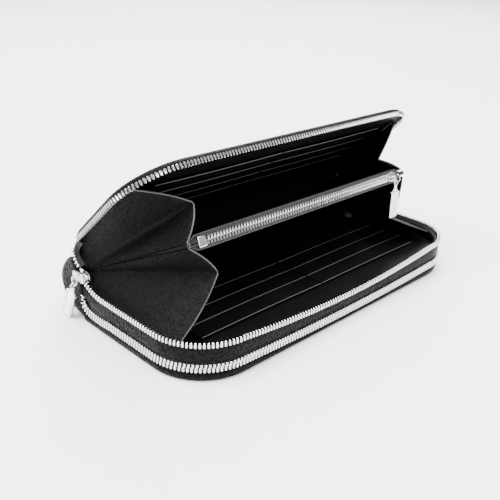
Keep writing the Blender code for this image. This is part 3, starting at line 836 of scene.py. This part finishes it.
def make_coin_pocket():
    pocket_wall("coin_pocket_lower_leaf", "coin_pocket_lower_wall", LOW_ROOT, LOW_MOUTH, -1)
    pocket_wall("coin_pocket_upper_leaf", "coin_pocket_upper_wall", HIGH_ROOT, HIGH_MOUTH, 1)

    rings = []
    for x in (-POCKET_HALF, -POCKET_HALF + 1.0, POCKET_HALF - 1.0, POCKET_HALF):
        tuck = 0.3 if abs(x) == POCKET_HALF else 0.0
        arc = []
        for k in range(9):
            a = -math.pi / 2 + math.pi * k / 8
            middle, radius = (LOW_ROOT + HIGH_ROOT) / 2, (HIGH_ROOT - LOW_ROOT) / 2 - tuck
            arc.append((x, ROOT_Y + 0.1 + 1.3 * math.cos(a), middle + radius * math.sin(a)))
        rings.append(arc)
    pocket_piece("coin_pocket_root_fold", loft(rings), [LINING], "coin_pocket_bottom_fold")

    for side, name in ENDS:
        rings = []
        for j in range(9):
            v = j / 8
            y = ROOT_Y - 1 + (MOUTH_Y + 1.5 - ROOT_Y) * v
            low = LOW_ROOT + (LOW_MOUTH - LOW_ROOT) * v + 0.9
            high = HIGH_ROOT + (HIGH_MOUTH - HIGH_ROOT) * v - 0.9
            fold = 3.5 * v
            x = side * (POCKET_HALF - 0.6)
            rings.append([(x, y, low), (x - side * fold, y, (low + high) / 2), (x, y, high),
                          (x - side * 0.7, y, high), (x - side * (fold + 0.7), y, (low + high) / 2),
                          (x - side * 0.7, y, low)])
        pocket_piece(f"coin_pocket_side_fold_{name}", loft(rings), [FOLDS],
                     f"coin_pocket_side_{name}")

    def mouth_out(centre, along):
        return FORWARD

    line = [Vector((-COIN_ROW_HALF, COIN_ROW_Y, 0.0)), Vector((COIN_SLIDER_X + 3.0, COIN_ROW_Y, 0.0))]
    for name, side, phase in (("lower", -1, 0.0), ("upper", 1, PITCH / 2)):
        z = MOUTH_Z + side * (TOOTH_LONG / 2 - MESHED)
        bm, _ = teeth(resample([p + UP * z for p in line], PITCH, phase), mouth_out, -side)
        pocket_piece(f"coin_zip_{name}_row", bm, [METAL], f"coin_zip_{name}_teeth")
        wall_z = (LOW_MOUTH + 0.75) if side < 0 else (HIGH_MOUTH - 0.75)
        rings = []
        for x in [-79.0, -77.5, -76.0, -74.5, -72.5, -40.0, 0.0, 40.0, 72.5, 74.5, 76.0, 77.5, 79.0]:
            path = [(MOUTH_Y + 2.5, wall_z), (MOUTH_Y - 0.4, wall_z - side * 0.1),
                    (MOUTH_Y - 2.0, wall_z - side * 0.9), (COIN_ROW_Y, z + side * 0.2)]
            path = [(y, mouth_pinch(x, h)) for y, h in path]
            near = [(x, y + 0.22, h) for y, h in path]
            bead = [(x, COIN_ROW_Y + 0.4, z - side * 0.3), (x, COIN_ROW_Y, z - side * 0.55),
                    (x, COIN_ROW_Y - 0.4, z - side * 0.3)]
            far = [(x, y - 0.22, h) for y, h in reversed(path)]
            rings.append(near + bead + far)
        pocket_piece(f"coin_zip_{name}_woven_tape", loft(rings), [TAPE], f"coin_zip_{name}_tape")

    stop = rounded_block(Vector((-COIN_ROW_HALF - 2.4, COIN_ROW_Y, MOUTH_Z)), (4.4, 2.6, 5.0), 0.6)
    pocket_piece("coin_zip_stop", stop, [METAL], "coin_zip_bottom_stop")


def rounded_block(centre, size, radius):
    """Bmesh of a block with rounded edges."""
    bm = bmesh.new()
    bmesh.ops.create_cube(bm, size=1.0)
    for vertex in bm.verts:
        vertex.co = Vector((c * s for c, s in zip(vertex.co, size))) + centre
    bmesh.ops.bevel(bm, geom=list(bm.edges), offset=radius, segments=3, profile=0.6, affect="EDGES")
    return bm


# ---------------------------------------------------------------- accordion gussets

GUSSET = 0.8
GUSSET_STEPS = 20
APEX = Vector((96.2, 32.2, 25.4))  # the folds run together behind the sliders
LEG_STEPS = 6  # points along each leg of a fold
BELLY = 1.3  # how far each leg of a fold swells
SEAM_INSET = 3.2  # of the gussets' seams along the zips' tapes


def closed_point(x, radius, degrees):
    """A point by its distance and angle from the hinge line."""
    a = math.radians(degrees)
    return Vector((x, HINGE.y - radius * math.cos(a), HINGE.z + radius * math.sin(a)))


def even_line(points, steps):
    """Evenly spaced places on a smooth line through points (Catmull-Rom)."""
    dense = []
    for i in range(len(points) - 1):
        a, b = points[max(i - 1, 0)], points[i]
        c, d = points[i + 1], points[min(i + 2, len(points) - 1)]
        for k in range(12):
            t = k / 12
            dense.append(b + (c - a) * (0.5 * t) + (a * 2 - b * 5 + c * 4 - d) * (0.5 * t * t)
                         + (b * 3 - a - c * 3 + d) * (0.5 * t ** 3))
    dense.append(points[-1])
    total = sum((q - p).length for p, q in zip(dense, dense[1:]))
    places = resample(dense, total / steps * 0.999999, -total / steps * 0.5)
    return [points[0]] + [p for p, _, _ in places[1:]] + [points[-1]]


def folded_line(corners, radius):
    """Two legs with a rounded corner between them, and each point's place from 0 to 2."""
    first, corner, last = corners
    near = corner + (first - corner).normalized() * min(radius, (first - corner).length * 0.45)
    far = corner + (last - corner).normalized() * min(radius, (last - corner).length * 0.45)
    line, places = [], []
    for k in range(LEG_STEPS):
        line.append(first.lerp(near, k / LEG_STEPS))
        places.append(0.85 * k / LEG_STEPS)
    for k in range(LEG_STEPS + 1):
        t = k / LEG_STEPS
        line.append(near * (1 - t) ** 2 + corner * 2 * t * (1 - t) + far * t * t)
        places.append(0.85 + 0.3 * t)
    for k in range(1, LEG_STEPS + 1):
        line.append(far.lerp(last, k / LEG_STEPS))
        places.append(1.15 + 0.85 * k / LEG_STEPS)
    return line, places


def gusset_leaf(name, node, folds, shares):
    """Leather folded along three lines that start together; shares are their parts of the lid's turn, for
    weights that are made but not used.
    """
    steps = GUSSET_STEPS
    sheet = []
    for i in range(steps + 1):
        v = i / steps
        line, places = folded_line([fold[i] for fold in folds], 0.9 + 4.5 * math.sin(math.pi * v) ** 0.8 * v)
        outward = [(fold[steps] - fold[steps - 2]).normalized() for fold in folds]
        bowed = []
        for p, place in zip(line, places):
            leg = min(int(place), 1)
            way = outward[leg].lerp(outward[leg + 1], place - leg).normalized()
            bowed.append(p + way * (2.2 * abs(math.sin(math.pi * place)) * v ** 3))
        sheet.append(bowed)
    count = len(places)
    share = []
    for place in places:
        leg = min(int(place), 1)
        share.append(shares[leg] + (shares[leg + 1] - shares[leg]) * (place - leg))

    rings, weights = [], []
    for i, line in enumerate(sheet):
        v = i / steps
        before, after = sheet[max(i - 1, 0)], sheet[min(i + 1, steps)]
        front, back = [], []
        for j, p in enumerate(line):
            across = line[min(j + 1, count - 1)] - line[max(j - 1, 0)]
            normal = (after[j] - before[j]).cross(across).normalized()
            swell = BELLY * abs(math.sin(math.pi * places[j])) * math.sin(math.pi * v ** 1.3) * v
            front.append(p + normal * (GUSSET / 2 + swell))
            back.append(p - normal * (GUSSET / 2 - swell))
        rings.append(front + back[::-1])
        hold = smoothstep(v * 4.0)  # weights near the apex are held down to the base's; the weights are not used
        weights += [s * hold for s in share + share[::-1]]
    tip = []
    for j in range(2 * count):
        inner, other = rings[-1][j], rings[-1][2 * count - 1 - j]
        tip.append(inner.lerp(other, 0.3) + (inner - rings[-2][j]).normalized() * 0.3)
    rings.append(tip)
    weights += share + share[::-1]
    bm = loft(rings)
    bm.verts.index_update()
    for face in bm.faces:
        if min(vertex.index for vertex in face.verts) >= steps * 2 * count:
            face.material_index = 1
    piece = add_piece(name, bm, [FOLDS, EDGE], replaces=[node], angle=55.0)
    bend(piece)


def make_gussets():
    base_seam = ZIP1_Z - 4.2  # along the lower tape
    lid_seam = ZIP1_Z + 2.9  # along the lid's tape, closed
    wall_x, end_x, end_y = HALF - SEAM_INSET, HALF - 5.4, FRONT + 17.0
    for side, name in ENDS:
        def place(x, y, z):
            return Vector((side * x, y, z))

        def lid_place(x, y):
            return turned(place(x, y, lid_seam), LID_OPEN)

        apex = Vector((side * APEX.x, APEX.y, APEX.z))
        seam_low = [apex, place(96.6, 26.5, base_seam + 4.0), place(wall_x, 17.0, base_seam + 0.6),
                    place(wall_x, 0.0, base_seam), place(wall_x, -20.0, base_seam),
                    place(end_x, end_y, base_seam)]
        seam_high = [apex, place(96.4, 34.8, 32.0), place(96.4, 33.4, 39.0), lid_place(wall_x, 9.0),
                     lid_place(wall_x, -20.0), lid_place(end_x, end_y)]
        if side < 0:
            low_peak, high_peak = closed_point(-69.0, 86.3, 21.9), closed_point(-70.0, 88.4, 42.7)
            low_mid, high_mid = closed_point(-79.8, 86.6, 31.1), closed_point(-79.8, 87.0, 32.5)
        else:
            low_peak, high_peak = closed_point(66.0, 80.5, 16.0), closed_point(64.0, 85.0, 39.5)
            low_mid, high_mid = closed_point(80.4, 84.0, 30.4), closed_point(80.4, 84.5, 33.4)

        def fold(end, bow):
            middle = apex.lerp(end, 0.5) + RIGHT * side * bow
            return even_line([apex, middle, end], GUSSET_STEPS)

        low = [even_line(seam_low, GUSSET_STEPS), fold(low_peak, 1.0), fold(low_mid, 2.0)]
        high = [fold(high_mid, 2.0), fold(high_peak, 1.0), even_line(seam_high, GUSSET_STEPS)]
        gusset_leaf(f"{name}_lower_gusset_leather", f"{name}_lower_gusset", low, (0.0, 0.35, 0.6))
        gusset_leaf(f"{name}_upper_gusset_leather", f"{name}_upper_gusset", high, (0.6, 0.8, 1.0))
        make_fold_loop(name, apex, low_mid.lerp(high_mid, 0.5))
        make_lower_gusset(side, name)


def make_fold_loop(name, apex, end):
    """The small rounded fold that joins the two gussets at the coin pocket's end."""
    along = (end - apex).normalized()
    across = along.cross(UP).normalized()
    level = across.cross(along).normalized()
    rings = []
    for i in range(9):
        v = i / 8
        centre = apex.lerp(end, 0.3 + 0.71 * v)
        outer = circle(centre, across, level, 0.6 + 0.55 * v, 20)
        rings.append(outer)
    for size in (0.95, 0.7, 0.45):
        rings.append([end.lerp(p, size) + along * 0.25 * (1.0 - abs(size - 0.7) * 2) for p in rings[8]])
    rings.append([p - along * 3.0 for p in rings[-1]])
    bm = loft(rings)
    bm.verts.index_update()
    for face in bm.faces:
        low = min(vertex.index for vertex in face.verts) // 20
        face.material_index = 1 if 8 <= low <= 10 and len(face.verts) == 4 else 0
    piece = add_piece(f"{name}_gusset_fold", bm, [FOLDS, EDGE], angle=50.0)
    bend(piece)


def make_lower_gusset(side, name):
    """Folded end wall of the closed lower compartment."""
    rings = []
    for y in (FRONT + 32.0, FRONT + 45.0, 10.0, 26.0):
        ring = []
        for z, push in ((3.2, 0.0), (4.4, 2.2), (5.7, 3.6), (7.0, 2.2), (8.2, 0.0)):
            ring.append((side * (93.6 - push), y, z))
        ring += [(x - side * 0.7, y, z) for x, y, z in reversed(ring)]
        rings.append(ring)
    add_piece(f"lower_compartment_gusset_{name}", loft(rings), [FOLDS], "base",
              [f"lower_gusset_{name}"])


# ---------------------------------------------------------------- sliders and pulls

SLIDER_LENGTH, PLATE_HALF, PLATE = 9.0, 2.6, 0.9
BAIL, BAIL_HEIGHT, BAIL_HALF = 0.6, 2.6, 1.6
RING_RADIUS, RING_WIRE = 2.2, 0.5
TAB_WIDTH, TAB_LENGTH, TAB_THICK = 7.0, 15.3, 1.6
NECK_LENGTH = 3.4
EYE_RADIUS, EYE_WIRE, EYE_DROP = 1.4, 0.4, 0.65
ROW_OUT, ROW_IN = -0.6, 1.6
PULL_LEAN = 24.0


def tube(bm, points, radius, cyclic, sides=14):
    """Adds a round wire through points to a bmesh."""
    count = len(points)
    centre = sum(points, Vector()) / count
    rings = []
    for i, p in enumerate(points):
        before = points[(i - 1) % count] if cyclic or i > 0 else p
        after = points[(i + 1) % count] if cyclic or i < count - 1 else p
        tangent = (after - before).normalized()
        across = p - centre
        across = (across - tangent * across.dot(tangent)).normalized()
        rings.append(circle(p, across, tangent.cross(across), radius, sides))
    stack(bm, rings, cyclic=cyclic)


def circle(centre, u, v, radius, count):
    return [centre + (u * math.cos(2 * math.pi * i / count) + v * math.sin(2 * math.pi * i / count)) * radius
            for i in range(count)]


def slider_outline(scale):
    """Shield-shaped plate: broad shoulders where the rows part, narrower where they are meshed."""
    points = []
    for i in range(32):
        a = 2 * math.pi * i / 32
        c, s = math.cos(a), math.sin(a)
        x = math.copysign(abs(c) ** 0.55, c) * SLIDER_LENGTH / 2
        broad = 1.0 + 0.16 * c
        y = math.copysign(abs(s) ** 0.6, s) * PLATE_HALF * min(1.0, broad * 0.93)
        points.append((x * (1 - (1 - scale) * 0.5), y * scale))
    return points


def slider(prefix, centre, out, along, bar, shift):
    """Slider body: two plates with rounded rims, the wedge between the rows and the bail."""
    across = out.cross(along).normalized()
    bm = bmesh.new()
    outer = centre + out * (-ROW_OUT + GAP)
    inner = centre - out * (ROW_IN + GAP)
    for base, way in ((outer, 1), (inner, -1)):
        stack(bm, [[base + out * (way * rise) + along * x + across * y for x, y in slider_outline(scale)]
                   for rise, scale in ((0.0, 0.93), (0.15, 1.0), (0.5, 1.0), (0.75, 0.93), (PLATE, 0.78))])
    wedge = [(along * (SLIDER_LENGTH * 0.3 * math.cos(a)) + across * (0.3 * math.sin(a)))
             for a in (2 * math.pi * k / 12 for k in range(12))]
    stack(bm, [[inner + w for w in wedge], [outer + w for w in wedge]])
    top = outer + out * PLATE + shift
    arch = []
    for i in range(17):
        a = math.pi * i / 16
        rise = math.sin(a) ** 0.8 * BAIL_HEIGHT - 0.3
        arch.append(top + out * rise + bar * (math.cos(a) * BAIL_HALF))
    tube(bm, arch, BAIL / 2, cyclic=False)
    add_piece(f"{prefix}_slider_body", bm, [METAL], body=prefix.replace("_zip", "_slider"),
              replaces=[f"{prefix}_slider"])
    return top + out * (BAIL_HEIGHT / 2 - 0.1)


def tab_layer(centre, way, wide, thin, length, width, height, corner):
    """Ring of points for one level of the tab: a rectangle with round corners."""
    points = []
    for sx, sy, start in ((1, 1, 0.0), (-1, 1, 0.5), (-1, -1, 1.0), (1, -1, 1.5)):
        for k in range(5):
            a = math.pi * (start + 0.5 * k / 4)
            x = sx * (length / 2 - corner) + corner * math.cos(a)
            y = sy * (width / 2 - corner) + corner * math.sin(a)
            points.append(centre + way * x + wide * y + thin * height)
    return points


def pull(prefix, bail_axis, ring_way, ring_side, tab_way, wide):
    """Ring, and the tab that hangs from it: eye, neck and a bevelled plate with plain grooves."""
    owner = prefix.replace("_zip", "")
    ring_centre = bail_axis + ring_way * RING_RADIUS
    bm = bmesh.new()
    tube(bm, circle(ring_centre, ring_way, ring_side, RING_RADIUS, 36), RING_WIRE / 2, cyclic=True)
    add_piece(f"{prefix}_pull_ring", bm, [METAL], f"{owner}_ring", [f"{prefix}_ring"])

    bm = bmesh.new()
    tab_axis = ring_centre + tab_way * RING_RADIUS
    wire_way = ring_way.cross(ring_side).cross(tab_way)
    eye_centre = tab_axis + tab_way * EYE_DROP
    tube(bm, circle(eye_centre, tab_way, wire_way.cross(tab_way).normalized(), EYE_RADIUS, 28), EYE_WIRE,
         cyclic=True)
    thin = tab_way.cross(wide)
    neck_start = eye_centre + tab_way * (EYE_RADIUS - 0.1)
    layers = []
    for rise, width, deep in ((0.0, 0.9, 0.42), (0.8, 1.2, 0.45), (2.0, 1.35, 0.48), (3.0, 2.0, 0.5),
                              (3.6, 3.1, 0.5)):
        middle = neck_start + tab_way * rise
        layers.append([middle + wide * (width * math.cos(a)) + thin * (deep * math.sin(a))
                       for a in (2 * math.pi * k / 16 for k in range(16))])
    stack(bm, layers)

    tab_centre = eye_centre + tab_way * (EYE_RADIUS + NECK_LENGTH + TAB_LENGTH / 2)
    half = TAB_THICK / 2
    recess = 0.22
    levels = [(2.4, -half + recess), (2.1, -half), (0.35, -half), (0.08, -half + 0.15), (0.0, -half + 0.4),
              (0.0, half - 0.4), (0.08, half - 0.15), (0.35, half), (2.1, half), (2.4, half - recess)]
    stack(bm, [tab_layer(tab_centre, tab_way, wide, thin, TAB_LENGTH - inset, TAB_WIDTH - inset, height,
                         max(0.25, 0.9 - inset * 0.25)) for inset, height in levels])
    for side in (-1, 1):
        for k in range(5):
            bar = tab_centre + tab_way * ((k - 2) * 2.35) + thin * (side * (half - recess + 0.05))
            size = (1.15, 3.6)
            lower = tab_layer(bar, tab_way, wide, thin, size[0], size[1], -side * 0.1, 0.3)
            upper = tab_layer(bar, tab_way, wide, thin, size[0] - 0.35, size[1] - 0.35, side * 0.16, 0.2)
            stack(bm, [lower, upper])
    add_piece(f"{prefix}_pull_tab", bm, [METAL], f"{owner}_tab", [f"{prefix}_tab"])


def make_sliders():
    lean = math.radians(PULL_LEAN)
    hang = section(math.sin(lean), -math.cos(lean))
    side = RIGHT.cross(hang)
    along = (Vector((-HALF, -19.5, ZIP1_Z)) - LEFT_SLIDER).normalized()
    bail = slider("upper_zip", LEFT_SLIDER, -RIGHT, along, hang, Vector())
    pull("upper_zip", bail, hang, side, hang, side)

    bail = slider("lower_zip", Vector((HALF, SLIDERS_Y, ZIP2_Z)), RIGHT, FORWARD, FORWARD, FORWARD * 2.6)
    pull("lower_zip", bail, FORWARD, UP, FORWARD, UP)

    mouth = Vector((COIN_SLIDER_X, COIN_ROW_Y - ROW_MIDDLE, MOUTH_Z))
    centre = turned(mouth, POCKET_OPEN)
    out = turned(mouth + FORWARD, POCKET_OPEN) - centre
    bail = slider("coin_zip", centre, out, RIGHT, RIGHT, Vector())
    ring_way = (out * 0.9 - UP * 0.5).normalized()
    pull("coin_zip", bail, ring_way, RIGHT.cross(ring_way), -UP, RIGHT)


# ---------------------------------------------------------------- studio

FLOOR_DROP = 0.0001  # metres, so that it doesn't flicker with the undersides
# name, place in metres, size in metres, power in watts
LAMPS = (("key", (-1.1, 0.5, 1.9), 1.6, 134.0), ("rim", (1.2, 1.1, 1.6), 1.4, 86.0),
         ("fill", (-0.9, -1.6, 1.0), 0.8, 30.0), ("top", (0.2, -0.3, 2.2), 1.8, 104.0))
WORLD_LIGHT = 0.72
CAMERA_PLACE = Vector((-248.7, -229.2, 171.8))
CAMERA_TURN = (45.1, 24.4, 2.0)  # degrees to the right of straight back, down, and tilted
CAMERA_LENS = 49.68


def make_stage():
    look = Look("floor_paper", (0.94, 0.94, 0.94), 0.9)
    speck = look.texture("Noise", 40.0, Detail=2.0)["Fac"]
    look.drive("Base Color", look.mix(speck, (0.93, 0.93, 0.93), (0.95, 0.95, 0.95)))
    bm = bmesh.new()
    bmesh.ops.create_grid(bm, x_segments=1, y_segments=1, size=6.0)
    mesh = bpy.data.meshes.new("floor")
    bm.to_mesh(mesh)
    bm.free()
    mesh.materials.append(look.material)
    floor = bpy.data.objects.new("floor", mesh)
    floor.location.z = -FLOOR_DROP
    bpy.context.scene.collection.objects.link(floor)

    world = bpy.data.worlds.new("studio")
    world.use_nodes = True
    world.node_tree.nodes["Background"].inputs["Color"].default_value = (1.0, 1.0, 1.0, 1.0)
    world.node_tree.nodes["Background"].inputs["Strength"].default_value = WORLD_LIGHT
    bpy.context.scene.world = world

    target = section(0.0, 0.03)
    for name, place, size, power in LAMPS:
        lamp = bpy.data.lights.new(name, "AREA")
        lamp.size = size
        lamp.energy = power
        light = bpy.data.objects.new(name, lamp)
        light.location = place
        light.rotation_euler = (target - Vector(place)).to_track_quat("-Z", "Y").to_euler()
        bpy.context.scene.collection.objects.link(light)


def make_camera():
    """Low three-quarter view of the front left corner."""
    yaw, pitch, roll = (math.radians(a) for a in CAMERA_TURN)
    forward = Vector((math.sin(yaw) * math.cos(pitch), math.cos(yaw) * math.cos(pitch), -math.sin(pitch)))
    level = Vector((math.cos(yaw), -math.sin(yaw), 0.0))
    above = level.cross(forward)
    right = level * math.cos(roll) + above * math.sin(roll)
    up = above * math.cos(roll) - level * math.sin(roll)
    turn = Matrix((right, up, -forward)).transposed().to_4x4()
    data = bpy.data.cameras.new("camera")
    data.sensor_width = 36.0
    data.lens = CAMERA_LENS
    data.clip_start = 0.01
    camera = bpy.data.objects.new("camera", data)
    camera.matrix_world = Matrix.Translation(CAMERA_PLACE * MM) @ turn
    bpy.context.scene.collection.objects.link(camera)
    bpy.context.scene.camera = camera


make_stage()
make_camera()
make_covers()
make_middle_band()
make_spine()
make_lower_zip()
make_upper_zip()
make_turns()
make_end_linings()
make_linings()
make_card_pockets()
make_coin_pocket()
make_gussets()
make_sliders()
